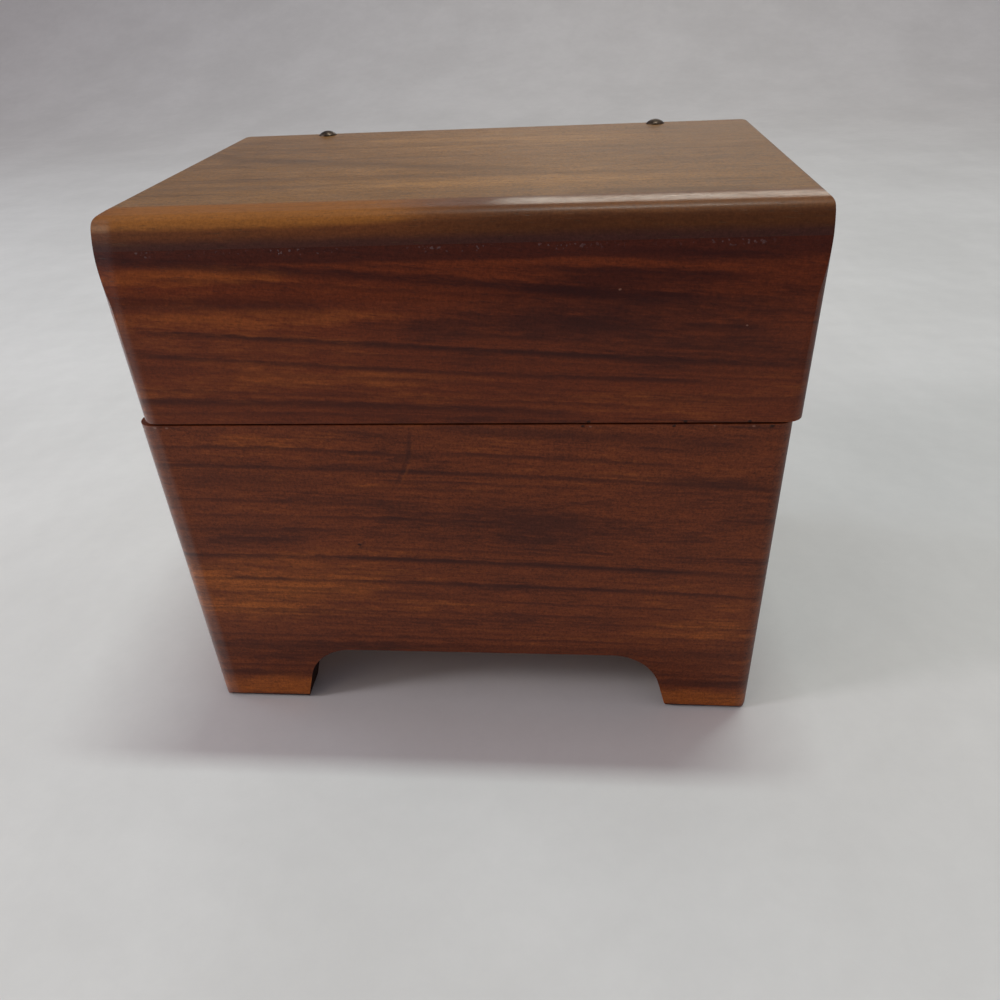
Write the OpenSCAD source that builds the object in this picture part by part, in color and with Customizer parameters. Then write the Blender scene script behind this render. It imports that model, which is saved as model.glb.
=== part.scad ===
// Recipe card box: a wooden box on bracket feet, with a hinged lid.
// X is the width, seen from the front. The front faces -Y and Z is up.
// The origin is under the middle of the whole box, hinge barrels included.

/* [Base] */
// Width of the base, outside
base_w = 152.4; // [140:0.2:180]
// Depth of the boards, front to back, hinge barrels left out
box_d = 103.6; // [90:0.2:130]
// Height of the seam between base and lid
seam_z = 90.8; // [80:0.2:110]
// Gap between the rims when the lid is shut
seam_gap = 0.5; // [0.3:0.1:0.8]
// Thickness of the boards
wall_t = 9.5; // [8:0.5:12]

/* [Lid] */
// Height of the whole box to the top of the lid
box_h = 137.4; // [130:0.2:160]
// Width of the lid
lid_w = 153; // [140.6:0.2:180.6]
// How far the lid sits to the right of the base
lid_shift = 1.5; // [0:0.1:2]
// Thickness of the top board
top_t = 6.8; // [6:0.2:12]

/* [Rounding] */
// Radius of the upright corners
corner_r = 4; // [2:0.5:6]
// Radius of the lid's two back corners
back_corner_r = 6; // [4:0.5:8]
// Radius of the lid's front where it leans back
lean_r = 60; // [40:1:80]
// Lean that it reaches there, in degrees
lean_end = 23; // [10:1:30]
// Radius of the bend above that, along its front top edge
nose_r = 4.2; // [3:0.1:6]
// Distance of the nose's upper edge from the front
nose_d = 13.4; // [10:0.2:16]
// Slope of the nose down from that edge, in degrees
nose_slope = 5; // [3:1:10]
// Radius along its other top edges
top_r = 1.5; // [1:0.5:5]
// Radius along the bottom edges of the feet
foot_r = 2; // [1:0.5:3]
// Radius of the left front foot at the arch
left_toe_r = 0.8; // [0.5:0.1:4]
// Radius of the right front foot at the arch
right_toe_r = 3; // [0.5:0.1:4]
// The same for the feet at the other arches
toe_r = 1.5; // [0.5:0.1:4]

/* [Feet] */
// Height of the arches between the feet
arch_h = 19.7; // [14:0.1:22]
// Width of the front and back arches at the floor
arch_w = 103.6; // [80:0.2:110]
// Width of the side arches at the floor
side_arch_w = 58; // [50:1:64]
// Radius in the top corners of an arch
arch_r = 13.5; // [8:0.5:14]
// Lean of the sides of an arch, in degrees
arch_lean = 15; // [5:1:20]
// How far the front arch sits to the right of the middle
arch_shift = 1.8; // [0:0.1:3]

/* [Corner joints] */
// Thickness of the lip that covers the end of a side board
lip_t = 5; // [3:0.5:5]

/* [Bottom panel] */
// Thickness of the panel
panel_t = 5; // [3:0.5:6]
// Height of its underside
panel_z = 23.5; // [22:0.5:28]
// Depth of the groove that holds it
groove_d = 4; // [3:0.5:5]

/* [Hinges] */
// Distance of each hinge from the middle of the base
hinge_x = 46; // [40:1:52]
// Length of a hinge
hinge_l = 25.4; // [20:0.2:30]
// Depth of a leaf in the rim, from the back face
leaf_in = 8; // [6:0.5:9]
// Thickness of a leaf
leaf_t = 1.1; // [0.9:0.1:1.3]
// Radius of the barrel
barrel_r = 2.25; // [2:0.05:2.5]
// Radius of the pin
pin_r = 1; // [0.8:0.05:1.2]

/* [Fasteners] */
// Radius of the shank of a hinge screw
screw_r = 0.9; // [0.7:0.05:1.1]
// Radius of its countersunk head
screw_head_r = 1.8; // [1.5:0.1:2]
// Distance between the two screws of a leaf
screw_pitch = 16; // [12:1:18]
// Distance of the lid's round-head pins from its middle
tack_x = 49.3; // [40:0.1:60]
// Radius of the head of such a pin
tack_head_r = 2.7; // [2:0.1:3]
// Height of its head
tack_head_h = 1.2; // [1:0.1:2]
// Distance of the pins from the back face
tack_in = 3.4; // [3:0.2:6]

/* [Hidden] */
$fn = 96;
// Clearances: beside a moving barrel, between knuckles, and round the pin
barrel_gap = 0.3;
knuckle_gap = 0.3;
pin_gap = 0.05;
// Room for the panel to swell in its groove
panel_play = 0.3;
groove_play = 0.2;
// Screws and pins
screw_l = 9.5;
countersink_h = 0.9;
slot_w = 0.5;
slot_h = 0.4;
tack_l = 16;
pin_head_r = 1.6;
pin_head_h = 0.7;
leaf_corner_r = 1;
// Cuts reach this far past a face
over = 1;
// Where the base, the lid and the hinge line stand
box_left = -base_w / 2;
box_right = max(base_w / 2, lid_shift + lid_w / 2);
base_x = -(box_left + box_right) / 2;
lid_x = base_x + lid_shift;
hinge_back = barrel_gap + 2 * barrel_r;
front_y = -(box_d + hinge_back) / 2;
back_y = front_y + box_d;
axis_y = back_y + barrel_gap + barrel_r;
base_top = seam_z - seam_gap / 2;
lid_bottom = seam_z + seam_gap / 2;
frame_top = box_h - top_t;
screw_y = back_y - leaf_in / 2 - 0.4;
knuckle_l = (hinge_l - 2 * knuckle_gap) / 3;

// Flat shapes

// What a rounded corner takes off, at a corner whose inside lies towards sx, sy
module corner_waste(sx, sy, r) {
  if (r > 0) {
    mirror([sx < 0 ? 1 : 0, 0])
      mirror([0, sy < 0 ? 1 : 0])
        difference() {
          translate([-over, -over])
            square(r + over);
          translate([r, r])
            circle(r);
        }
  }
}

// A w by h rectangle centred on x = 0 and standing on y = 0,
// with its own radii for the bottom corners and for the top left and top right corners
module soft_rect(w, h, low_r, left_r, right_r) {
  difference() {
    translate([-w / 2, 0])
      square([w, h]);
    translate([-w / 2, 0])
      corner_waste(1, 1, low_r);
    translate([w / 2, 0])
      corner_waste(-1, 1, low_r);
    translate([-w / 2, h])
      corner_waste(1, -1, left_r);
    translate([w / 2, h])
      corner_waste(-1, -1, right_r);
  }
}

// The opening between two feet: a flat top, round top corners and sides that lean out
module arch_shape(w) {
  lean = tan(arch_lean);
  top_half = w / 2 - arch_h * lean;
  floor_half = w / 2 + over * lean;
  difference() {
    polygon([
      [-floor_half, -over],
      [floor_half, -over],
      [top_half, arch_h],
      [-top_half, arch_h]
    ]);
    arch_corner_waste(w);
    mirror([1, 0])
      arch_corner_waste(w);
  }
}

// What the round top corner leaves standing of the sharp one, on the right.
// The two cuts through the circle's centre are square to the top and to the side.
module arch_corner_waste(w) {
  centre_z = arch_h - arch_r;
  touch_z = centre_z + arch_r * sin(arch_lean);
  centre_x = w / 2 - arch_r * cos(arch_lean) - touch_z * tan(arch_lean);
  reach = arch_r + over;
  difference() {
    translate([centre_x, centre_z])
      polygon([
        [0, 0],
        [reach * cos(arch_lean), reach * sin(arch_lean)],
        [reach, reach],
        [0, reach]
      ]);
    translate([centre_x, centre_z])
      circle(arch_r);
  }
}

// What rounds off the feet where they meet the floor in an arch w wide.
// Its cuts through the circle's centre are square to the floor and to the side.
module toe_wastes(w, left_r, right_r) {
  toe_waste(w, right_r);
  mirror([1, 0])
    toe_waste(w, left_r);
}

module toe_waste(w, r) {
  centre_x = w / 2 - r * tan(arch_lean) + r / cos(arch_lean);
  reach = r + over;
  difference() {
    translate([centre_x, r])
      polygon([
        [0, 0],
        [-reach * cos(arch_lean), -reach * sin(arch_lean)],
        [-reach, -reach],
        [0, -reach]
      ]);
    translate([centre_x, r])
      circle(r);
  }
}

// What lies outside an arc of radius r round the point c. The two cuts through c are square
// to the arc, at tilts a and b above the direction of the front.
module arc_waste(c, r, a, b) {
  reach = r + 10;
  mid = (a + b) / 2;
  far = reach / cos((b - a) / 2);
  difference() {
    translate(c)
      polygon([
        [0, 0],
        [-reach * cos(a), reach * sin(a)],
        [-far * cos(mid), far * sin(mid)],
        [-reach * cos(b), reach * sin(b)]
      ]);
    translate(c)
      circle(r);
  }
}

// What the nose takes off the lid's side view, whose front top corner is at y = 0, z = h:
// the front leans back along a long arc, bends over and runs on up a flat slope to the top
module nose_waste(h) {
  bend_y = lean_r - (lean_r - nose_r) * cos(lean_end);
  slope_l = (nose_d + nose_r * sin(nose_slope) - bend_y) / cos(nose_slope);
  bend_z = h - slope_l * sin(nose_slope) - nose_r * cos(nose_slope);
  lean_z = bend_z - (lean_r - nose_r) * sin(lean_end);
  // The first and last cuts reach past the bend's ends, so that no sliver stays between them
  arc_waste([lean_r, lean_z], lean_r, 0, lean_end + 3);
  translate([nose_d, h])
    rotate([0, 0, nose_slope])
      translate([-slope_l - over, 0])
        square([slope_l + 2 * over, nose_r + 10]);
  arc_waste([bend_y, bend_z], nose_r, lean_end, 90 - nose_slope);
}

// Outer bodies

// Extrudes a shape drawn in X and Z through the whole depth
module along_depth() {
  translate([0, back_y + over, 0])
    rotate([90, 0, 0])
      linear_extrude(box_d + 2 * over)
        children();
}

// Extrudes a shape drawn in Y and Z through the whole width
module along_width(w) {
  translate([-w / 2 - over, 0, 0])
    rotate([90, 0, 90])
      linear_extrude(w + 2 * over)
        children();
}

// The outside of the base, its bottom edges eased
module base_body() {
  intersection() {
    translate([base_x, front_y, 0])
      linear_extrude(base_top)
        soft_rect(base_w, box_d, corner_r, corner_r, corner_r);
    translate([base_x, 0, 0])
      along_depth()
        soft_rect(base_w, base_top, foot_r, 0, 0);
    translate([base_x, front_y + box_d / 2, 0])
      along_width(base_w)
        soft_rect(box_d, base_top, foot_r, 0, 0);
  }
}

// The outside of the lid, with the nose along its front top edge
module lid_body() {
  lid_h = box_h - lid_bottom;
  intersection() {
    translate([lid_x, front_y, lid_bottom])
      linear_extrude(lid_h)
        soft_rect(lid_w, box_d, corner_r, back_corner_r, back_corner_r);
    translate([lid_x, 0, lid_bottom])
      along_depth()
        soft_rect(lid_w, lid_h, 0, top_r, top_r);
    translate([lid_x, front_y + box_d / 2, lid_bottom])
      along_width(lid_w)
        difference() {
          soft_rect(box_d, lid_h, 0, 0, top_r);
          translate([-box_d / 2, 0])
            nose_waste(lid_h);
        }
  }
}

// Board regions, cut out of an outer body

// A front or back board: full width, stepped at each end to cover the side boards
module long_board(w, z0, z1, is_back) {
  mirror_y = is_back ? 1 : 0;
  translate([0, is_back ? back_y : front_y, z0])
    mirror([0, mirror_y, 0])
      difference() {
        translate([-w / 2 - over, -over, 0])
          cube([w + 2 * over, wall_t + over, z1 - z0]);
        for (side = [-1, 1])
          translate([side * w / 2 - wall_t, lip_t, -over])
            cube([2 * wall_t, wall_t, z1 - z0 + 2 * over]);
      }
}

// A side board: its ends sit in the steps of the front and back boards
module side_board(w, z0, z1, side) {
  centre = side * (w - wall_t) / 2;
  translate([centre - wall_t / 2, front_y + lip_t, z0])
    cube([wall_t, box_d - 2 * lip_t, z1 - z0]);
}

// The groove for the bottom panel, as one slab that reaches into all four boards
module panel_slab(reach, z, t) {
  inner_w = base_w - 2 * wall_t;
  inner_d = box_d - 2 * wall_t;
  translate([base_x - inner_w / 2 - reach, front_y + wall_t - reach, z])
    cube([inner_w + 2 * reach, inner_d + 2 * reach, t]);
}

// Hinge parts. A leaf is drawn for the base, pointing towards the front.

// Puts something at both hinges
module at_hinges() {
  for (side = [-1, 1])
    translate([base_x + side * hinge_x, 0, 0])
      children();
}

// Turns a base hinge part over, for the lid
module for_lid() {
  translate([0, 0, 2 * seam_z])
    mirror([0, 0, 1])
      children();
}

// The recess in a rim that takes a leaf
module leaf_recess() {
  translate([-hinge_l / 2, back_y - leaf_in, base_top - leaf_t])
    cube([hinge_l, leaf_in + over, leaf_t + over]);
}

// Two pilot holes under a leaf
module pilot_holes() {
  for (side = [-1, 1])
    translate([side * screw_pitch / 2, screw_y, base_top - screw_l])
      cylinder(h = screw_l + over, r = screw_r);
}

// One countersunk slotted screw, head up, its top at z = 0
module hinge_screw() {
  tip_h = 2;
  difference() {
    union() {
      translate([0, 0, -countersink_h])
        cylinder(h = countersink_h, r1 = screw_r, r2 = screw_head_r);
      translate([0, 0, -screw_l + tip_h])
        cylinder(h = screw_l - tip_h - countersink_h, r = screw_r);
      translate([0, 0, -screw_l])
        cylinder(h = tip_h, r1 = 0.2, r2 = screw_r);
    }
    translate([-screw_head_r - over, -slot_w / 2, -slot_h])
      cube([2 * screw_head_r + 2 * over, slot_w, slot_h + over]);
  }
}

module leaf_screws() {
  for (side = [-1, 1])
    translate([side * screw_pitch / 2, screw_y, base_top])
      rotate([0, 0, 35 * side + 10])
        hinge_screw();
}

// A stretch of barrel from x0 to x1, with the strap that joins it to its leaf
module knuckle(x0, x1) {
  translate([x0, axis_y, seam_z])
    rotate([0, 90, 0])
      cylinder(h = x1 - x0, r = barrel_r);
  translate([x0, back_y - over, base_top - leaf_t])
    cube([x1 - x0, over + barrel_gap + barrel_r / 2, leaf_t]);
}

// The flat plate, with its two front corners rounded and countersunk holes
module leaf_plate() {
  difference() {
    translate([0, back_y - leaf_in, base_top - leaf_t])
      linear_extrude(leaf_t)
        soft_rect(hinge_l, leaf_in, leaf_corner_r, 0, 0);
    for (side = [-1, 1])
      translate([side * screw_pitch / 2, screw_y, base_top]) {
        translate([0, 0, -countersink_h])
          cylinder(h = countersink_h, r1 = screw_r, r2 = screw_head_r);
        translate([0, 0, -leaf_t - over])
          cylinder(h = leaf_t + over, r = screw_r);
      }
  }
}

module pin_bore(r) {
  translate([-hinge_l, axis_y, seam_z])
    rotate([0, 90, 0])
      cylinder(h = 2 * hinge_l, r = r);
}

// The base leaf carries the two outer knuckles, which grip the pin
module base_leaf() {
  difference() {
    union() {
      leaf_plate();
      knuckle(-hinge_l / 2, -hinge_l / 2 + knuckle_l);
      knuckle(hinge_l / 2 - knuckle_l, hinge_l / 2);
    }
    pin_bore(pin_r);
  }
}

// The lid leaf carries the middle knuckle, which turns on the pin
module lid_leaf() {
  difference() {
    union() {
      leaf_plate();
      knuckle(-knuckle_l / 2, knuckle_l / 2);
    }
    pin_bore(pin_r + pin_gap);
  }
}

// A round head standing on z = 0: the top slice of a ball
module round_head(r, h) {
  ball_r = (r * r + h * h) / (2 * h);
  intersection() {
    translate([0, 0, h - ball_r])
      sphere(ball_r);
    cylinder(h = h + over, r = r + over);
  }
}

module hinge_pin() {
  translate([-hinge_l / 2, axis_y, seam_z])
    rotate([0, 90, 0])
      cylinder(h = hinge_l, r = pin_r);
  for (side = [-1, 1])
    translate([side * hinge_l / 2, axis_y, seam_z])
      rotate([0, side * 90, 0])
        round_head(pin_head_r, pin_head_h);
}

// Holes for the round-head pins, through the top board into the back board
module tack_holes() {
  for (side = [-1, 1])
    translate([lid_x + side * tack_x, back_y - tack_in, box_h - tack_l])
      cylinder(h = tack_l + over, r = screw_r);
}

// Base

module base_front() {
  color("saddlebrown")
    difference() {
      intersection() {
        base_body();
        translate([base_x, 0, 0])
          long_board(base_w, 0, base_top, false);
      }
      panel_slab(groove_d, panel_z, panel_t + groove_play);
      translate([base_x + arch_shift, 0, 0]) {
        along_depth()
          arch_shape(arch_w);
        along_depth()
          toe_wastes(arch_w, left_toe_r, right_toe_r);
      }
    }
}

module base_back() {
  color("saddlebrown")
    difference() {
      intersection() {
        base_body();
        translate([base_x, 0, 0])
          long_board(base_w, 0, base_top, true);
      }
      panel_slab(groove_d, panel_z, panel_t + groove_play);
      translate([base_x, 0, 0]) {
        along_depth()
          arch_shape(arch_w);
        along_depth()
          toe_wastes(arch_w, toe_r, toe_r);
      }
      at_hinges() {
        leaf_recess();
        pilot_holes();
      }
    }
}

module base_side(side) {
  color("sienna")
    difference() {
      intersection() {
        base_body();
        translate([base_x, 0, 0])
          side_board(base_w, 0, base_top, side);
      }
      panel_slab(groove_d, panel_z, panel_t + groove_play);
      translate([base_x, front_y + box_d / 2, 0]) {
        along_width(base_w)
          arch_shape(side_arch_w);
        along_width(base_w)
          toe_wastes(side_arch_w, toe_r, toe_r);
      }
    }
}

module base_left() {
  base_side(-1);
}

module base_right() {
  base_side(1);
}

module bottom_panel() {
  color("peru")
    panel_slab(groove_d - panel_play, panel_z, panel_t);
}

// Lid

module lid_front() {
  color("saddlebrown")
    intersection() {
      lid_body();
      translate([lid_x, 0, 0])
        long_board(lid_w, lid_bottom, frame_top, false);
    }
}

module lid_back() {
  color("saddlebrown")
    difference() {
      intersection() {
        lid_body();
        translate([lid_x, 0, 0])
          long_board(lid_w, lid_bottom, frame_top, true);
      }
      for_lid()
        at_hinges() {
          leaf_recess();
          pilot_holes();
        }
      tack_holes();
    }
}

module lid_side(side) {
  color("sienna")
    intersection() {
      lid_body();
      translate([lid_x, 0, 0])
        side_board(lid_w, lid_bottom, frame_top, side);
    }
}

module lid_left() {
  lid_side(-1);
}

module lid_right() {
  lid_side(1);
}

module lid_top() {
  color("chocolate")
    difference() {
      intersection() {
        lid_body();
        translate([lid_x - lid_w, front_y - over, frame_top])
          cube([2 * lid_w, box_d + 2 * over, top_t + over]);
      }
      tack_holes();
    }
}

// Hinges and fasteners

module at_hinge(side) {
  translate([base_x + side * hinge_x, 0, 0])
    children();
}

module hinge_base_leaf_left() {
  color("goldenrod")
    at_hinge(-1)
      base_leaf();
}

module hinge_base_leaf_right() {
  color("goldenrod")
    at_hinge(1)
      base_leaf();
}

module hinge_lid_leaf_left() {
  color("gold")
    for_lid()
      at_hinge(-1)
        lid_leaf();
}

module hinge_lid_leaf_right() {
  color("gold")
    for_lid()
      at_hinge(1)
        lid_leaf();
}

module hinge_pin_left() {
  color("darkgoldenrod")
    at_hinge(-1)
      hinge_pin();
}

module hinge_pin_right() {
  color("darkgoldenrod")
    at_hinge(1)
      hinge_pin();
}

module base_hinge_screws() {
  color("darkgoldenrod")
    at_hinges()
      leaf_screws();
}

module lid_hinge_screws() {
  color("darkgoldenrod")
    for_lid()
      at_hinges()
        leaf_screws();
}

module lid_pins() {
  color("dimgray")
    for (side = [-1, 1])
      translate([lid_x + side * tack_x, back_y - tack_in, box_h]) {
        round_head(tack_head_r, tack_head_h);
        translate([0, 0, -tack_l + 1])
          cylinder(h = tack_l - 1, r = screw_r);
      }
}

base_front();
base_back();
base_left();
base_right();
bottom_panel();
lid_front();
lid_back();
lid_left();
lid_right();
lid_top();
hinge_base_leaf_left();
hinge_base_leaf_right();
hinge_lid_leaf_left();
hinge_lid_leaf_right();
hinge_pin_left();
hinge_pin_right();
base_hinge_screws();
lid_hinge_screws();
lid_pins();
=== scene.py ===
"""Looks of a wooden recipe card box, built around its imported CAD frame.

Wood works in millimetres of the shared frame: X to the right, Y to the back, Z up. Its own x counts
from the middle of the base. The surroundings are in metres.
"""
import math

import bpy
from mathutils import Matrix, Vector

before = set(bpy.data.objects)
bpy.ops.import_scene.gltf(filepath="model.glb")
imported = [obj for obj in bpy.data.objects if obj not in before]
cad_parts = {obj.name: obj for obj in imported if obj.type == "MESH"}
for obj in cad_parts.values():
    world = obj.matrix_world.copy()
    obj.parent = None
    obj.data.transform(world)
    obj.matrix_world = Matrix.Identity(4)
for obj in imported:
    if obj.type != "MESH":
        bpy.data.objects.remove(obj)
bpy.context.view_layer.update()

MM = 0.001

# Sizes and places of the box in mm
WIDTH = 152.4
DEPTH = 103.6
BOARD = 9.5
FRONT_Y = -54.2
BASE_MIDDLE = -0.9
LID_SHIFT = 1.5
ABOVE_ARCHES = 20.6
SEAM_TOP = 91.3
TOP_UNDERSIDE = 130.6
NOSE_TOP = 136.8
NOSE_END = 13.4

# Marks on the wood are drawn between x -REACH and x REACH
REACH = 76.0


# Camera

def make_camera():
    """The photograph's viewpoint, fitted to the outline, the seam and the feet."""
    data = bpy.data.cameras.new("camera")
    data.lens = 29.09
    data.sensor_width = 36.0
    data.clip_start = 0.01
    data.clip_end = 20.0
    camera = bpy.data.objects.new("camera", data)
    bpy.context.scene.collection.objects.link(camera)
    place = Vector((25.94, -216.55, 176.71)) * MM
    yaw, pitch, roll = math.radians(6.05), math.radians(33.13), math.radians(-3.04)
    turn = (Matrix.Rotation(yaw, 4, "Z") @ Matrix.Rotation(math.pi / 2 - pitch, 4, "X")
            @ Matrix.Rotation(roll, 4, "Z"))
    camera.matrix_world = Matrix.Translation(place) @ turn
    bpy.context.scene.camera = camera


# Node graphs

class Graph:
    """The node tree of a material or the world, with short calls. Inputs are sockets or plain values."""

    def __init__(self, owner):
        owner.use_nodes = True
        self.owner = owner
        self.tree = owner.node_tree
        self.tree.nodes.clear()

    def feed(self, socket, value):
        if isinstance(value, bpy.types.NodeSocket):
            self.tree.links.new(value, socket)
        else:
            if socket.type == "RGBA" and len(value) == 3:
                value = (*value, 1.0)
            socket.default_value = value

    def add(self, kind, inputs=(), **settings):
        node = self.tree.nodes.new("ShaderNode" + kind)
        for name, value in settings.items():
            setattr(node, name, value)
        for key, value in dict(inputs).items():
            self.feed(node.inputs[key], value)
        return node

    def math(self, operation, *values):
        return self.add("Math", dict(enumerate(values)), operation=operation).outputs[0]

    def sum(self, *terms):
        total = terms[0]
        for term in terms[1:]:
            total = self.math("ADD", total, term)
        return total

    def times(self, *terms):
        total = terms[0]
        for term in terms[1:]:
            total = self.math("MULTIPLY", total, term)
        return total

    def less(self, value, amount):
        return self.math("SUBTRACT", value, amount)

    def size(self, value):
        return self.math("ABSOLUTE", value)

    def ramp(self, value, low, high, out_low=0.0, out_high=1.0, shape="LINEAR"):
        """A change from out_low at low to out_high at high, level on either side."""
        inputs = {0: value, 1: low, 2: high, 3: out_low, 4: out_high}
        return self.add("MapRange", inputs, interpolation_type=shape).outputs[0]

    def step(self, value, low, high, out_low=0.0, out_high=1.0):
        """The same change, eased at both ends."""
        return self.ramp(value, low, high, out_low, out_high, "SMOOTHSTEP")

    def drop(self, value, low, high):
        """An eased fall from one at low to zero at high."""
        return self.step(value, low, high, 1.0, 0.0)

    def vector(self, x, y, z):
        return self.add("CombineXYZ", {0: x, 1: y, 2: z}).outputs[0]

    def stretch(self, place, factors):
        return self.add("VectorMath", {0: place, 1: factors}, operation="MULTIPLY").outputs[0]

    def millimetres(self):
        """The place on the object in mm."""
        return self.stretch(self.add("TexCoord").outputs["Object"], (1.0 / MM,) * 3)

    def noise(self, place, detail=2.0, roughness=0.5, distortion=0.0, scale=1.0):
        inputs = {"Vector": place, "Scale": scale, "Detail": detail, "Roughness": roughness,
                  "Distortion": distortion}
        return self.add("TexNoise", inputs).outputs[0]

    def swing(self, place, detail=2.0, roughness=0.5, scale=1.0):
        """Noise around zero."""
        return self.less(self.noise(place, detail, roughness, scale=scale), 0.5)

    def mix(self, factor, a, b, blend="MIX"):
        node = self.add("Mix", data_type="RGBA", blend_type=blend)
        self.feed(node.inputs[0], factor)
        self.feed(node.inputs[6], a)
        self.feed(node.inputs[7], b)
        return node.outputs[2]

    def curve(self, value, points, low, high):
        """A curve of value over [low, high], drawn through given points of (place, height)."""
        node = self.add("FloatCurve", {"Factor": 1.0, "Value": self.ramp(value, low, high)})
        curve = node.mapping.curves[0]
        span = high - low
        points = sorted(((p - low) / span, h) for p, h in points)
        curve.points[0].location = points[0]
        curve.points[1].location = points[-1]
        for point in points[1:-1]:
            curve.points.new(*point)
        for point in curve.points:
            point.handle_type = "AUTO_CLAMPED"
        node.mapping.update()
        return node.outputs[0]

    def end(self, kind, output_kind, sockets):
        """Ends the tree in one shader, and gives back the material or the world."""
        shader = self.add(kind, {name.replace("_", " "): value for name, value in sockets.items()})
        self.add(output_kind, {"Surface": shader.outputs[0]})
        return self.owner

    def principled(self, **sockets):
        return self.end("BsdfPrincipled", "OutputMaterial", sockets)


# Wood

class Board(Graph):
    """The wood of one board, in layers that follow one another.

    Its grain runs along "x", along "y" or "flat", which is along x on a level board. front counts
    from the front face to the back. along, across and deep are the grain's own directions.
    """

    def __init__(self, name, grain, seed, fan):
        super().__init__(bpy.data.materials.new(name))
        self.grain, self.seed = grain, seed
        self.place = self.millimetres()
        split = self.add("SeparateXYZ", {0: self.place}).outputs
        self.x, self.y, self.z = self.math("ADD", split[0], -BASE_MIDDLE), split[1], split[2]
        self.front = self.math("ADD", self.y, -FRONT_Y)
        self.normal = self.add("SeparateXYZ", {0: self.add("TexCoord").outputs["Normal"]}).outputs
        self.along, self.across, self.deep, end = {
            "x": (self.x, self.z, self.front, self.normal[0]),
            "y": (self.y, self.z, self.x, self.normal[1]),
            "flat": (self.x, self.y, self.z, self.normal[0]),
        }[grain]
        self.end_on = self.size(end)
        self.bend_grain(*fan)
        self.make_figure()

    def grain_noise(self, along, across, deep):
        """Noise around zero, with its features per mm along, across and deep in straight grain."""
        return self.swing(self.vector(self.times(self.along, along),
                                      self.math("MULTIPLY_ADD", self.across, across, self.seed),
                                      self.times(self.deep, deep)))

    def bend_grain(self, slope, gain, level, bend):
        """v is the place across the grain, fanned and bent as the photographed lines are."""
        start = self.math("ADD", self.along, REACH)
        lean = self.math("MULTIPLY_ADD", self.less(self.across, level), gain, slope)
        straight = self.sum(self.across, self.times(start, lean), self.times(start, start, bend),
                            self.times(self.deep, 0.25))
        sway = self.grain_noise(0.02, 0.06, 0.06)
        ripple = self.grain_noise(0.11, 0.45, 0.45)
        self.wander = self.sum(self.times(sway, 1.6), self.times(ripple, 0.8))
        self.v = self.sum(straight, self.wander)

    def field(self, length, width, shift, detail=2.0, roughness=0.55):
        """Noise around zero drawn out along the grain, its features about length by width mm."""
        place = self.vector(self.times(self.along, 1.0 / length),
                            self.math("MULTIPLY_ADD", self.v, 1.0 / width, shift + self.seed),
                            self.math("MULTIPLY_ADD", self.deep, 0.4 / width, self.seed))
        return self.swing(place, detail, roughness)

    def make_figure(self):
        """The noises that the layers share, from broad figure to fine grain."""
        self.figure = self.field(75.0, 11.0, 0.0)
        self.bands = self.field(95.0, 2.6, 7.0)
        self.rings = self.field(150.0, 1.15, 5.0, 1.0)
        self.mottle = self.field(6.5, 0.95, 3.0, 4.0, 0.68)
        self.dashes = self.field(2.6, 0.34, 11.0, 3.0, 0.65)
        self.come_and_go = self.field(30.0, 3.5, 19.0)
        self.blotch = self.swing(self.vector(self.times(self.along, 0.07), self.times(self.across, 0.16),
                                             self.seed), 4.0, 0.62)
        self.speckle = self.swing(self.place, scale=2.4)
        self.grit = self.swing(self.place, scale=1.2)
        pores = self.noise(self.vector(self.times(self.along, 0.42), self.times(self.v, 4.6),
                                       self.math("MULTIPLY_ADD", self.deep, 2.0, self.seed)), 1.0)
        self.pores = self.step(pores, 0.64, 0.76)
        # Heights of marks count on the front plane, so where the lid leans back they come out lower
        face = self.y if self.grain == "flat" else self.math("MULTIPLY_ADD", self.front, 0.32, self.z)
        self.ragged = self.sum(face, self.times(self.mottle, 1.25), self.times(self.wander, 0.35))

    def tint(self, amount, tone):
        self.colour = self.mix(amount, self.colour, tone)

    def draw_lines(self, marks):
        """Thin dark lines: faint ones everywhere, and the photographed ones."""
        faint = self.times(self.step(self.rings, 0.04, 0.27), self.step(self.come_and_go, -0.14, 0.14),
                           0.48)
        self.dark = self.math("MAXIMUM", faint, self.times(self.step(self.bands, 0.10, 0.32), 0.40))
        broken = self.math("MULTIPLY_ADD", self.come_and_go, 0.8, self.dashes)
        broken = self.step(broken, -0.22, 0.10, 0.5, 1.0)
        for left, middle, right, half, strength, start, end in marks:
            # A parabola through the heights at the left, in the middle and at the right
            slope = (right - left) / (2 * REACH)
            bend = (right + left - 2 * middle) / (2 * REACH ** 2)
            tilt = self.math("MULTIPLY_ADD", self.x, bend, slope)
            height = self.math("MULTIPLY_ADD", tilt, self.x, middle)
            off = self.less(self.ragged, height)
            line = self.math("MINIMUM", self.drop(off, 0.2 * half, 2.0 * half),
                             self.step(off, -3.2 * half, -0.3 * half))
            span = self.math("MINIMUM", self.step(self.x, start - 9, start + 6),
                             self.drop(self.x, end - 6, end + 9))
            self.dark = self.math("MAXIMUM", self.dark, self.times(line, span, broken, 0.85 * strength))

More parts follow.
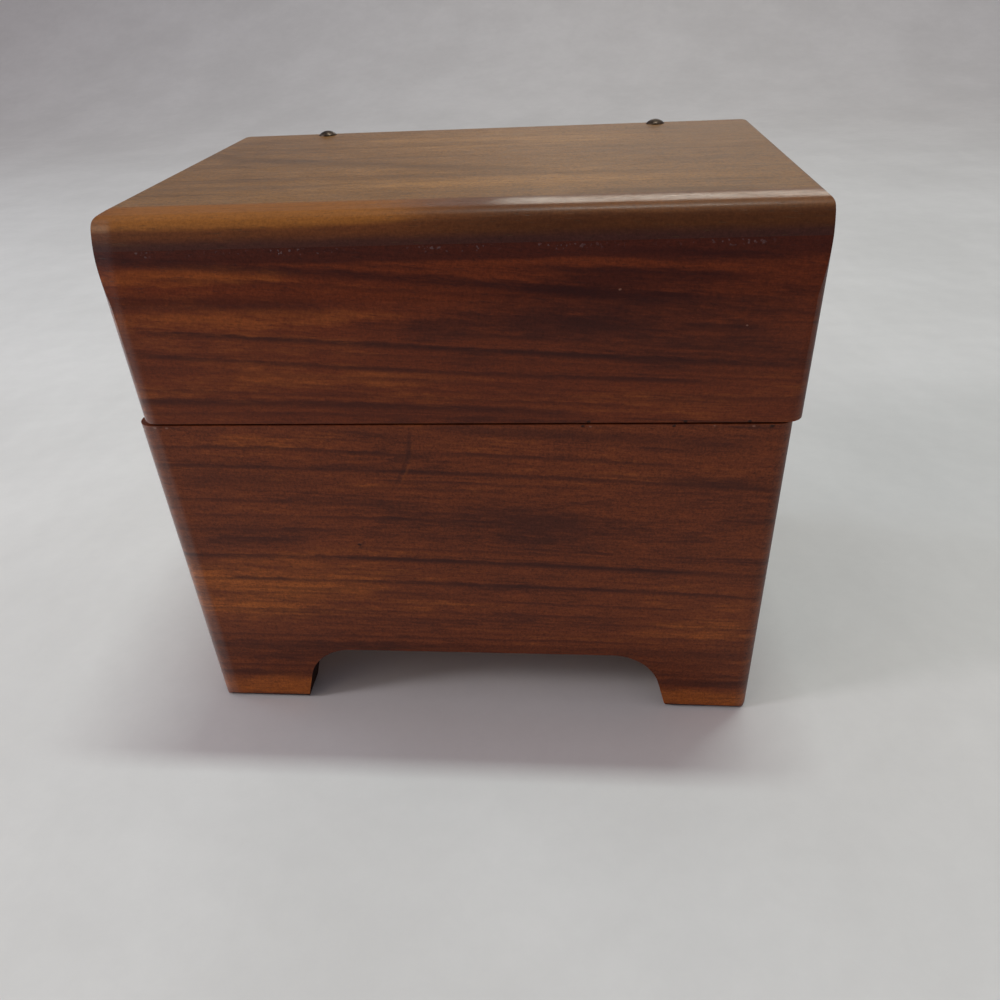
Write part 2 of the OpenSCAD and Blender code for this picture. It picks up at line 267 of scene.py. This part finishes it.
    def lay_tones(self, tones, glows, contrast):
        """The broad tones with their glows, and the shade of the fine grain to go over them."""
        self.pale, middle, deep, self.line_tone = tones
        light = self.sum(0.5, self.times(self.figure, 0.75), self.times(self.bands, -0.35),
                         self.times(self.mottle, 0.7), self.times(self.blotch, 0.5))
        # Glows are lighter or darker patches; some stand for painted light falling from the left side.
        for centre_x, centre_z, half_length, half_height, lightness in glows:
            off_x = self.times(self.less(self.x, centre_x), 1.0 / half_length)
            off_z = self.times(self.less(self.ragged, centre_z), 1.0 / half_height)
            far = self.sum(self.times(off_x, off_x), self.times(off_z, off_z))
            light = self.math("ADD", light, self.step(far, 0.15, 1.6, lightness, 0.0))
        self.colour = self.mix(self.step(light, 0.05, 0.52), deep, middle)
        self.tint(self.step(light, 0.5, 1.05), self.pale)
        self.shade = self.sum(1.0, self.times(self.mottle, 0.42 * contrast),
                              self.times(self.dashes, 0.5 * contrast),
                              self.times(self.grit, 0.7 * contrast),
                              self.times(self.speckle, 0.5 * contrast))

    def lay_nose(self):
        """The nose: dark and purplish low on it, then reddish brown with painted light that makes it
        lighter on the left, then amber painted light up to the flat top, strongest on the left half.
        """
        self.on_nose = self.drop(self.front, NOSE_END - 0.6, NOSE_END + 0.4)
        self.shade = self.sum(self.times(self.shade, self.step(self.on_nose, 0.0, 1.0, 1.0, 0.5)),
                              self.times(self.on_nose, 0.5))
        ragged = self.math("ADD", self.z, self.times(self.mottle, 0.8))
        # Painted light: the brown is lighter on the left, where the side light falls.
        brown = self.mix(self.step(self.x, -20.0, 20.0), (0.125, 0.034, 0.0115), (0.066, 0.017, 0.0065))
        self.tint(self.times(self.on_nose, 0.85), brown)
        low = self.times(self.drop(ragged, 131.2, 133.4), self.on_nose)
        self.tint(self.times(low, 0.85), (0.050, 0.017, 0.014))
        # Painted light: amber near the ridge, strongest on the left half of the nose.
        start = self.step(self.x, -30.0, 20.0, 133.7, 135.0)
        amber = self.times(self.step(self.less(ragged, start), 0.0, 1.5), self.on_nose,
                           self.curve(self.x, AMBER_LIGHT_ALONG_NOSE, -REACH, REACH))
        self.tint(amber, (0.30, 0.108, 0.017))

    def lay_grain(self):
        """Fine grain, dark lines, pores and end grain over the tones."""
        shade = self.add("CombineColor", {0: self.shade, 1: self.shade, 2: self.shade}).outputs[0]
        self.colour = self.mix(1.0, self.colour, shade, "MULTIPLY")
        self.tint(self.dark, self.line_tone)
        self.tint(self.times(self.pores, 0.5), self.line_tone)
        self.tint(self.times(self.step(self.end_on, 0.6, 0.95), 0.45), self.line_tone)

    def paint_arch_shade(self):
        """Painted shade: the cut faces of the arches and feet, under the box, are tinted nearly black."""
        self.sawn_and_shaded = self.times(self.drop(self.normal[2], -0.3, -0.12),
                               self.drop(self.z, ABOVE_ARCHES, ABOVE_ARCHES + 1.4))
        if self.grain != "flat":
            arch_end = {"x": 60.0, "y": 38.0}[self.grain]
            upright = self.times(self.drop(self.size(self.along), arch_end, arch_end + 4.0),
                                 self.drop(self.z, ABOVE_ARCHES - 0.6, ABOVE_ARCHES),
                                 self.step(self.end_on, 0.3, 0.5))
            self.sawn_and_shaded = self.math("MAXIMUM", self.sawn_and_shaded, upright)
        # Painted shade, nearly black, on these faces; the same mask also makes them rough and leaves them
        # unvarnished.
        self.tint(self.times(self.sawn_and_shaded, 0.9), (0.008, 0.004, 0.004))

    def bare_inside(self, middle):
        """Inside the box, which is centred at x middle, the wood was never varnished."""
        half_x, half_y = WIDTH / 2 - BOARD + 0.5, DEPTH / 2 - BOARD + 0.1
        off_x = self.size(self.less(self.x, middle))
        off_y = self.size(self.less(self.y, FRONT_Y + DEPTH / 2))
        self.bare = self.times(self.drop(off_x, half_x, half_x + 0.3),
                               self.drop(off_y, half_y, half_y + 0.3),
                               self.drop(self.z, TOP_UNDERSIDE + 0.1, TOP_UNDERSIDE + 0.4))
        self.tint(self.times(self.bare, 0.45), (0.36, 0.19, 0.095))

    def make_relief(self, gloss):
        """Height of the surface, and a roughness around gloss."""
        self.height = self.sum(self.times(self.mottle, 0.5), self.times(self.dashes, 0.45),
                               self.times(self.pores, -0.7), self.times(self.speckle, 0.08),
                               self.times(self.dark, -0.25), self.times(self.blotch, 0.6))
        self.roughness = self.sum(gloss, self.times(self.blotch, 0.16), self.times(self.dark, 0.05),
                                  self.times(self.bare, 0.25), self.times(self.speckle, 0.12),
                                  self.times(self.pores, 0.15), self.times(self.sawn_and_shaded, 0.45))

    def add_beads(self):
        """Beads of varnish in clusters under the top board: raised in the relief, with their glints
        painted in a light tint.
        """
        row = self.times(self.step(self.z, TOP_UNDERSIDE - 1.6, TOP_UNDERSIDE - 1.1),
                         self.drop(self.z, TOP_UNDERSIDE - 0.5, TOP_UNDERSIDE - 0.1),
                         self.step(self.front, 0.0, 6.0, 1.0, 0.9))
        place = self.vector(self.times(self.x, 1.3), 3.7, self.times(self.z, 1.3))
        glinting_beads = self.times(row, self.step(self.noise(place, 1.0), 0.60, 0.70),
                           self.curve(self.x, BEAD_CLUSTERS, -REACH, REACH))
        # Painted glints: the beads are tinted light.
        self.tint(self.times(glinting_beads, 0.5), (0.17, 0.115, 0.115))
        self.height = self.math("MULTIPLY_ADD", glinting_beads, 2.5, self.height)

    def outer_face(self):
        """The upright direction of the marks on the outer face, and where that face is."""
        if self.grain == "flat":
            return self.y, 1.0
        return self.z, self.drop(self.front, BOARD - 1.0, BOARD - 0.3)

    def add_scratch(self, x0, z0, x1, z1, half):
        """A scratch from x0, z0 to x1, z1 with a brighter far side. half is half its width."""
        plane, outside = self.outer_face()
        run, rise = x1 - x0, z1 - z0
        length = math.hypot(run, rise)
        from_x, from_z = self.less(self.x, x0), self.less(plane, z0)
        t = self.sum(self.times(from_x, run / length ** 2), self.times(from_z, rise / length ** 2))
        span = self.times(self.step(t, -0.15, 0.15), self.drop(t, 0.85, 1.15), outside)
        side = self.sum(self.times(from_x, -rise / length), self.times(from_z, run / length),
                        self.times(self.mottle, 1.4 * half))
        cut = self.times(self.drop(self.size(side), 0.3 * half, 1.6 * half), span)
        rim = self.times(self.drop(self.size(self.less(side, 1.7 * half)), 0.0, 0.9 * half), span,
                         self.step(self.come_and_go, -0.05, 0.15))
        self.tint(self.times(cut, 0.42), self.line_tone)
        self.tint(self.times(rim, 0.18), self.pale)
        self.height = self.sum(self.height, self.times(cut, -1.0), self.times(rim, 0.5))

    def add_spot(self, spot_x, spot_z, radius, tone, rise):
        """A ragged spot of one tone, raised where rise is positive and sunk where it is negative."""
        plane, outside = self.outer_face()
        off_x = self.times(self.less(self.x, spot_x), 0.7)
        off_z = self.less(plane, spot_z)
        far = self.math("SQRT", self.sum(self.times(off_x, off_x), self.times(off_z, off_z)))
        far = self.math("MULTIPLY_ADD", self.speckle, 1.2 * radius, far)
        spot = self.times(self.drop(far, 0.6 * radius, 1.4 * radius), outside)
        self.tint(self.times(spot, 0.85), tone)
        self.height = self.math("MULTIPLY_ADD", spot, rise, self.height)

    def light_slope(self, bump):
        """The slope behind the nose is lit as one flat face."""
        slope = self.times(self.step(self.front, 8.4, 9.2), self.drop(self.front, 10.8, NOSE_END + 0.1),
                           self.step(self.z, NOSE_TOP, NOSE_TOP + 0.15))
        geometry = self.add("NewGeometry").outputs
        lit = self.add("Mix", data_type="VECTOR")
        self.feed(lit.inputs[0], slope)
        self.feed(lit.inputs[4], geometry["Normal"])
        self.feed(lit.inputs[5], geometry["True Normal"])
        self.feed(bump.inputs["Normal"], lit.outputs[1])

    def hazy_coat(self):
        """Hazy varnish on the top and most of all on the slope. The nose's left half is the least hazy."""
        haze = self.times(self.step(self.z, NOSE_TOP - 0.2, NOSE_TOP + 0.2),
                          self.sum(0.3, self.times(self.blotch, 0.5)))
        clear = self.times(self.on_nose, self.drop(self.x, -25.0, 8.0))
        streak = self.times(self.step(self.front, 8.2, 9.4), self.drop(self.front, 10.4, NOSE_END + 0.2),
                            self.math("MULTIPLY_ADD", self.dashes, 3.0, 1.3))
        return self.times(haze, self.step(clear, 0.0, 1.0, 1.0, 0.15), self.math("ADD", 1.0, streak))

    def varnish(self, nosed, coat_roughness):
        """Ends the material in its varnish, which shines most on the rubbed left corners."""
        bump = self.add("Bump", {"Strength": 0.35, "Distance": 0.1 * MM, "Height": self.height})
        corner = self.times(self.drop(self.x, -72.6, -69.6), self.drop(self.normal[2], 0.75, 0.95))
        shine = self.step(corner, 0.0, 1.0, 0.03 if nosed else 0.1, 1.0)
        coat = self.times(self.less(1.0, self.bare), self.less(1.0, self.sawn_and_shaded), shine)
        if nosed:
            self.light_slope(bump)
            coat = self.math("ADD", coat, self.hazy_coat())
        return self.principled(Base_Color=self.colour, Roughness=self.roughness, Normal=bump.outputs[0],
                               Specular_IOR_Level=0.15, Coat_Weight=coat, Coat_Normal=bump.outputs[0],
                               Coat_Roughness=coat_roughness)


def wood(piece, grain, seed, tones, fan, marks=(), glows=(), scratches=(), chips=(), pits=(), nosed=False,
         beaded=False, contrast=1.5, gloss=0.42, coat_roughness=0.18):
    """The wood of one piece.

    fan is (slope, slope gained per mm of height, height of the plain slope, bend) of the grain.
    marks are dark lines (height at x -REACH, at x 0, at x REACH, half width, strength, x from, x to).
    glows are broad patches (x, height, half length, half height, lightness); some carry painted light,
    making the lid front and the base front lighter towards their left ends and the lid front darker at its
    upper right.
    scratches are (x0, z0, x1, z1, half width). chips are bright and pits are dents with painted shade,
    nearly black (x, z, radius).
    On a level board heights count along y. contrast is that of the fine grain. nosed is for the lid's
    top board, and beaded for the board under its nose, whose beads of varnish carry painted glints.
    """
    board = Board("wood_" + piece, grain, seed, fan)
    board.draw_lines(marks)
    board.lay_tones(tones, glows, contrast)
    if nosed:
        board.lay_nose()
    board.lay_grain()
    board.paint_arch_shade()
    board.bare_inside(LID_SHIFT if piece.startswith("lid") else 0.0)
    board.make_relief(gloss)
    if beaded:
        board.add_beads()
    for scratch in scratches:
        board.add_scratch(*scratch)
    # Pits: dents and notches painted nearly black as the shade in them.
    for pit in pits:
        board.add_spot(*pit, (0.008, 0.004, 0.003), -3.0)
    for chip in chips:
        board.add_spot(*chip, (0.25, 0.12, 0.08), 1.0)
    return board.varnish(nosed, coat_roughness)


# Tones of the wood: pale, middle, deep and of its lines
REDDISH = ((0.34, 0.092, 0.015), (0.166, 0.037, 0.0096), (0.078, 0.0170, 0.0070), (0.030, 0.0066, 0.0056))
DARKER = ((0.275, 0.070, 0.013), (0.145, 0.029, 0.0076), (0.066, 0.0130, 0.0056), (0.026, 0.0052, 0.0046))
TAWNY = ((0.33, 0.150, 0.032), (0.22, 0.097, 0.019), (0.13, 0.058, 0.015), (0.07, 0.034, 0.013))
PLAIN = ((0.47, 0.255, 0.100), (0.36, 0.185, 0.068), (0.26, 0.120, 0.045), (0.12, 0.055, 0.025))

# Strength along x, as points of a curve: of the painted amber light on the nose, and of the bead clusters
# with their painted glints
AMBER_LIGHT_ALONG_NOSE = [(-76, 0.45), (-60, 0.8), (-20, 0.8), (0, 0.22), (12, 0.12), (28, 0.28), (76, 0.35)]
BEAD_CLUSTERS = [
    (-76, 0), (-68, 0.2), (-64, 1), (-58, 0.2), (-42, 0.3), (-33, 1), (-22, 0.4), (-12, 0), (0, 0.9),
    (9, 0.8), (14, 0.1), (22, 0.9), (30, 0.5), (44, 0.1), (60, 0.9), (64, 0.8), (70, 0), (76, 0)]

# Marks and glows, in the order that wood() gives
LID_MARKS = [
    (129.5, 124.2, 115.2, 0.75, 0.85, -73, 46), (121.2, 118.2, 115.0, 1.2, 0.6, -74, -26),
    (114.5, 109.3, 104.5, 0.42, 0.9, -66, 75), (109.0, 103.7, 100.4, 0.36, 0.75, -70, 56),
    (97.2, 95.0, 90.1, 0.6, 0.8, -73, 26), (126.0, 121.6, 112.6, 0.4, 0.45, -60, 20),
    (106.0, 101.2, 97.2, 0.3, 0.35, -74, 10), (103.2, 99.0, 95.0, 0.3, 0.35, -50, 60),
    (100.0, 97.2, 93.0, 0.3, 0.4, -74, 40), (94.0, 92.6, 88.2, 0.35, 0.4, -74, 30),
    (131.4, 127.6, 123.3, 0.5, 0.75, 21, 62), (131.0, 131.6, 127.0, 0.45, 0.7, 36, 66),
    (128.0, 124.2, 116.8, 0.45, 0.7, 20, 52), (122.0, 117.0, 112.2, 1.0, 0.6, 24, 36),
    (120.0, 116.4, 112.4, 0.7, 0.6, 50, 64), (117.0, 112.6, 107.4, 0.35, 0.45, 0, 76),
    (112.0, 107.0, 102.4, 0.3, 0.35, -30, 76), (108.0, 100.0, 96.6, 0.4, 0.35, 40, 76)]
# Painted light: the lighter left end (-62, 108) and the darker upper right (50, 118) of the lid front.
LID_GLOWS = [
    (-55, 126.2, 24, 2.4, 0.42), (-40, 116.6, 40, 2.2, 0.24), (-18, 101.8, 26, 2.2, 0.20),
    (50, 118.0, 34, 14.0, -0.24), (10, 113.5, 40, 3.0, -0.16), (-55, 101.0, 26, 3.0, 0.08),
    (60, 99.0, 24, 5.0, 0.14), (-5, 97.8, 40, 1.6, 0.10), (20, 91.0, 60, 2.0, -0.12),
    (5, 130.7, 90, 2.4, -0.62), (62, 129.0, 26, 2.0, -0.25), (-62, 108.0, 30, 16.0, 0.10),
    (6, 110.0, 24, 12.0, -0.10), (22, 101.0, 26, 5.0, 0.07)]
TOP_MARKS = [
    (17.0, -9.0, -24.0, 2.2, 0.55, -78, 14), (12.0, -3.0, -16.0, 1.2, 0.4, -66, -20),
    (30.0, 25.0, 14.0, 1.6, 0.35, -60, 10), (-24.0, -27.0, -31.0, 1.6, 0.5, -74, -30),
    (-33.0, -36.0, -40.0, 1.4, 0.5, 30, 62), (8.0, 16.0, 8.0, 1.3, 0.3, 0, 60),
    (-12.0, -18.0, -20.0, 1.2, 0.35, -20, 50), (38.0, 34.0, 30.0, 1.0, 0.3, -40, 60)]
TOP_GLOWS = [
    (8, 26.0, 46, 18.0, 0.26), (-30, -26.0, 44, 5.0, 0.2), (20, -26.0, 40, 6.0, 0.2),
    (-62, 5.0, 26, 60.0, -0.14), (60, 8.0, 22, 40.0, -0.10)]
BASE_MARKS = [
    (84.9, 81.5, 68.9, 0.35, 0.75, -74, -12), (83.4, 82.9, 77.6, 0.35, 0.7, -5, 50),
    (80.0, 77.7, 73.0, 0.38, 0.8, -74, 76), (79.6, 78.9, 75.0, 0.75, 0.8, -33, -19),
    (79.2, 77.6, 74.6, 1.0, 0.85, 50, 70), (76.4, 74.6, 70.4, 1.2, 0.45, -68, -32),
    (90.8, 89.5, 84.6, 0.95, 0.6, -4, 64), (75.5, 72.9, 69.4, 0.32, 0.5, -30, 8),
    (70.3, 67.8, 64.2, 0.34, 0.55, -75, -18), (67.6, 66.0, 62.0, 0.28, 0.35, -40, 40),
    (65.3, 64.0, 60.0, 0.32, 0.6, -70, 8), (60.9, 60.2, 57.0, 0.36, 0.6, -76, -34),
    (58.0, 57.2, 55.0, 0.5, 0.85, -60, -44), (56.2, 54.6, 51.0, 0.3, 0.4, -30, 60),
    (52.8, 51.3, 47.5, 0.48, 0.95, -76, 76), (48.8, 47.4, 44.0, 0.28, 0.3, -60, 30),
    (45.1, 43.9, 40.5, 0.36, 0.85, -66, 76), (40.3, 39.3, 36.4, 0.26, 0.55, -60, -36),
    (41.4, 38.5, 35.6, 0.26, 0.5, 5, 56), (37.2, 36.4, 34.0, 0.24, 0.35, -76, 10),
    (34.4, 33.8, 32.0, 0.28, 0.5, -76, 40), (31.9, 31.3, 29.6, 0.26, 0.45, -60, 76),
    (29.6, 29.0, 27.4, 0.24, 0.35, -76, 20), (27.2, 26.8, 25.4, 0.3, 0.35, -40, 76),
    (25.2, 24.8, 23.6, 0.3, 0.5, -76, 50), (21.8, 21.6, 20.6, 1.1, 0.5, -76, 76),
    (17.4, 17.2, 16.6, 0.8, 0.4, -76, 76), (13.3, 13.2, 12.8, 0.4, 0.6, -76, 76),
    (10.6, 10.5, 10.2, 0.8, 0.75, -76, 76)]
# The glows at the left end of the base front also carry painted light: that end is lighter where the side
# light falls.
BASE_GLOWS = [
    (-50, 46.0, 40, 7.0, 0.26), (-40, 36.0, 46, 5.0, 0.16), (62, 29.5, 22, 4.0, 0.26),
    (10, 46.5, 46, 2.2, 0.12), (42, 64.0, 40, 10.0, -0.16), (-56, 57.5, 26, 3.0, -0.20),
    (0, 61.0, 34, 7.0, -0.14), (-66, 82.0, 16, 3.5, 0.12), (6, 84.8, 18, 3.0, 0.20),
    (-40, 86.6, 24, 2.4, 0.14), (30, 33.0, 24, 6.0, -0.10), (0, 17.0, 90, 7.5, -0.22),
    (0, 4.5, 100, 4.0, 0.55), (4, 58.0, 34, 30.0, -0.08), (-60, 42.0, 20, 10.0, 0.08)]

BASE_SCRATCHES = [
    (-10.4, 88.8, -11.7, 81.6, 0.5), (-11.7, 81.6, -14.9, 75.0, 0.55), (-27.0, 55.0, -25.4, 57.2, 0.4)]
BASE_CHIPS = [
    (-74.6, 89.4, 0.35), (-71.5, 90.1, 0.3), (-68.6, 90.0, 0.25), (31.0, 90.1, 0.2), (58.5, 90.2, 0.18),
    (67.0, 90.1, 0.22)]
BASE_PITS = [(-26.9, 56.4, 0.35), (49.6, 90.2, 0.3), (29.3, 90.2, 0.3), (71.0, 90.1, 0.35)]
LID_CHIPS = [(36.5, 121.3, 0.2), (62.7, 113.5, 0.16)]
LID_PITS = [(x, SEAM_TOP, 0.3) for x in (30.6, 52.0, 66.0)]
TOP_PITS = [(24.1, 35.9, 0.35)]

# Boards without drawn marks: grain, seed, tones, slope of the grain
PLAIN_BOARDS = {
    "base_back": ("x", 8.7, REDDISH, 0.01),
    "lid_back": ("x", 12.9, DARKER, -0.02),
    "base_left": ("y", 15.2, REDDISH, 0.03),
    "base_right": ("y", 18.8, REDDISH, -0.02),
    "lid_left": ("y", 21.4, DARKER, 0.02),
    "lid_right": ("y", 25.6, DARKER, -0.03),
}


def make_wood_materials():
    boards = {
        "base_front": wood("base_front", "x", 2.3, REDDISH, (0.030, 0.0005, 50.0, 0.00005), BASE_MARKS,
                           BASE_GLOWS, BASE_SCRATCHES, BASE_CHIPS, BASE_PITS),
        "lid_front": wood("lid_front", "x", 5.1, DARKER, (0.050, 0.0016, 96.0, 0.0), LID_MARKS, LID_GLOWS,
                          chips=LID_CHIPS, pits=LID_PITS, beaded=True, contrast=0.95, coat_roughness=0.12),
    }
    for piece, (grain, seed, tones, slope) in PLAIN_BOARDS.items():
        boards[piece] = wood(piece, grain, seed, tones, (slope, 0.0, 0.0, 0.0))
    boards["lid_top"] = wood("lid_top", "flat", 29.3, TAWNY, (0.004, 0.0, 0.0, 0.0), TOP_MARKS, TOP_GLOWS,
                             pits=TOP_PITS, nosed=True, coat_roughness=0.13)
    boards["bottom_panel"] = wood("bottom_panel", "flat", 33.1, PLAIN, (0.0, 0.0, 0.0, 0.0), gloss=0.55)
    return boards


# Metal

def metal(name, colour, dull, roughness, patch_scale):
    """Worn metal: a base colour under patches of dull film, with fine random marks."""
    g = Graph(bpy.data.materials.new(name))
    place = g.millimetres()
    patches = g.noise(place, 4.0, 0.6, 0.4, patch_scale)
    grime = g.noise(place, 3.0, 0.6, 0.0, 1.9)
    marks = g.noise(g.stretch(place, (0.6, 6.0, 6.0)), 3.0)
    film = g.step(g.sum(g.times(patches, 0.7), g.times(grime, 0.3)), 0.4, 0.62)
    level = g.sum(roughness, g.times(film, 0.2), g.times(g.less(marks, 0.5), 0.25))
    relief = g.sum(marks, g.times(grime, 0.6))
    bump = g.add("Bump", {"Strength": 0.25, "Distance": 0.04 * MM, "Height": relief}).outputs[0]
    return g.principled(Base_Color=g.mix(film, colour, dull), Metallic=1.0, Roughness=level, Normal=bump)


# Fixed frame: materials and eased edges

def ease(node, width, segments):
    """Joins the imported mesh's split edges and rounds the sharp ones by width mm."""
    weld = node.modifiers.new("weld", "WELD")
    weld.merge_threshold = 0.002 * MM
    bevel = node.modifiers.new("bevel", "BEVEL")
    bevel.width = width * MM
    bevel.segments = segments
    bevel.limit_method = "ANGLE"
    bevel.angle_limit = math.radians(35)
    bevel.harden_normals = False
    shade = node.modifiers.new("normals", "WEIGHTED_NORMAL")
    shade.mode = "FACE_AREA"
    shade.keep_sharp = False


def dress_frame():
    boards = make_wood_materials()
    brass = metal("aged_brass", (0.56, 0.38, 0.16), (0.20, 0.12, 0.05), 0.28, 0.36)
    bronze = metal("dark_bronze", (0.10, 0.07, 0.05), (0.03, 0.02, 0.015), 0.3, 0.37)
    for name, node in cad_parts.items():
        finish = boards.get(name) or (bronze if name == "lid_pins" else brass)
        node.data.materials.clear()
        node.data.materials.append(finish)
        if name in boards:
            ease(node, 0.45, 3)
        else:
            ease(node, 0.06, 1)


# Surroundings

def make_paper():
    """Matt paper with broad mottling, a fine weave and short fibres."""
    g = Graph(bpy.data.materials.new("pale_sheet"))
    place = g.add("TexCoord").outputs["Object"]
    mottle = g.noise(place, 4.0, 0.6, 0.0, 9.0)
    weave = g.noise(place, 2.0, 0.5, 0.0, 900.0)
    fibre = g.noise(place, 5.0, 0.7, 0.0, 70.0)
    tone = g.mix(g.step(mottle, 0.3, 0.7), (0.69, 0.68, 0.66), (0.75, 0.74, 0.72))
    tone = g.mix(g.step(fibre, 0.3, 0.7, 0.0, 0.09), tone, (0.45, 0.44, 0.43))
    bump = g.add("Bump", {"Strength": 0.1, "Distance": 0.0002, "Height": weave}).outputs[0]
    return g.principled(Base_Color=tone, Roughness=0.8, Normal=bump, Specular_IOR_Level=0.2)


def make_stage():
    """A pale sheet: flat under the box, curving up into a backdrop behind it."""
    half_width, front, bend, radius, top, parts = 2.5, -1.6, 0.9, 0.8, 2.2, 12
    profile = [(front, 0.0), (0.0, 0.0), (bend, 0.0)]
    for i in range(1, parts + 1):
        a = math.pi / 2 * i / parts
        profile.append((bend + radius * math.sin(a), radius * (1 - math.cos(a))))
    profile.append((bend + radius, top))
    verts, faces = [], []
    for y, z in profile:
        verts += [(-half_width, y, z), (half_width, y, z)]
    for i in range(len(profile) - 1):
        faces.append((2 * i, 2 * i + 1, 2 * i + 3, 2 * i + 2))
    mesh = bpy.data.meshes.new("sheet")
    mesh.from_pydata(verts, [], faces)
    mesh.polygons.foreach_set("use_smooth", [True] * len(faces))
    mesh.materials.append(make_paper())
    sheet = bpy.data.objects.new("sheet", mesh)
    bpy.context.scene.collection.objects.link(sheet)


def make_light(name, place, target, size, level, colour):
    """A soft panel; level 1 lights a surface that faces it at the target to its written colour."""
    data = bpy.data.lights.new(name, "AREA")
    data.shape = "RECTANGLE"
    data.size, data.size_y = size
    light = bpy.data.objects.new(name, data)
    light.location = place
    way = Vector(target) - light.location
    light.rotation_euler = way.to_track_quat("-Z", "Y").to_euler()
    data.energy = math.pi ** 2 * way.length ** 2 * level
    data.color = colour
    light.visible_camera = False
    bpy.context.scene.collection.objects.link(light)


def make_lights():
    centre = (0.0, 0.0, 0.07)
    make_light("overhead", (0.14, 0.19, 1.32), (0.14, 0.0, 0.07), (0.42, 0.07), 0.40, (0.92, 1.05, 1.02))
    # This light reaches under the front arch and stops in a clear line there
    make_light("window_side", (-1.06, -0.345, 0.53), centre, (0.2, 0.2), 0.30, (0.84, 0.80, 0.86))
    make_light("window_left", (-0.95, 0.20, 0.80), centre, (0.35, 0.6), 0.085, (0.62, 0.82, 1.0))
    make_light("room_front", (-0.55, -0.55, 0.75), centre, (0.4, 0.4), 0.05, (1.0, 0.82, 0.60))
    make_light("window_back", (0.22, 1.5, 0.82), centre, (0.72, 0.16), 0.040, (1.0, 0.92, 0.78))


def make_world():
    """The light of the room, dimmer and cooler in front of the box than behind it."""
    world = bpy.data.worlds.new("world")
    bpy.context.scene.world = world
    g = Graph(world)
    behind = g.add("SeparateXYZ", {0: g.add("TexCoord").outputs["Generated"]}).outputs[1]
    hue = g.mix(g.ramp(behind, -0.5, 0.7), (0.95, 0.86, 1.0), (1.0, 0.88, 0.77))
    strength = g.ramp(behind, -0.7, 0.7, 0.235, 0.575)
    g.end("Background", "OutputWorld", {"Color": hue, "Strength": strength})


bpy.context.scene.view_settings.view_transform = "Standard"
make_camera()
dress_frame()
make_stage()
make_lights()
make_world()
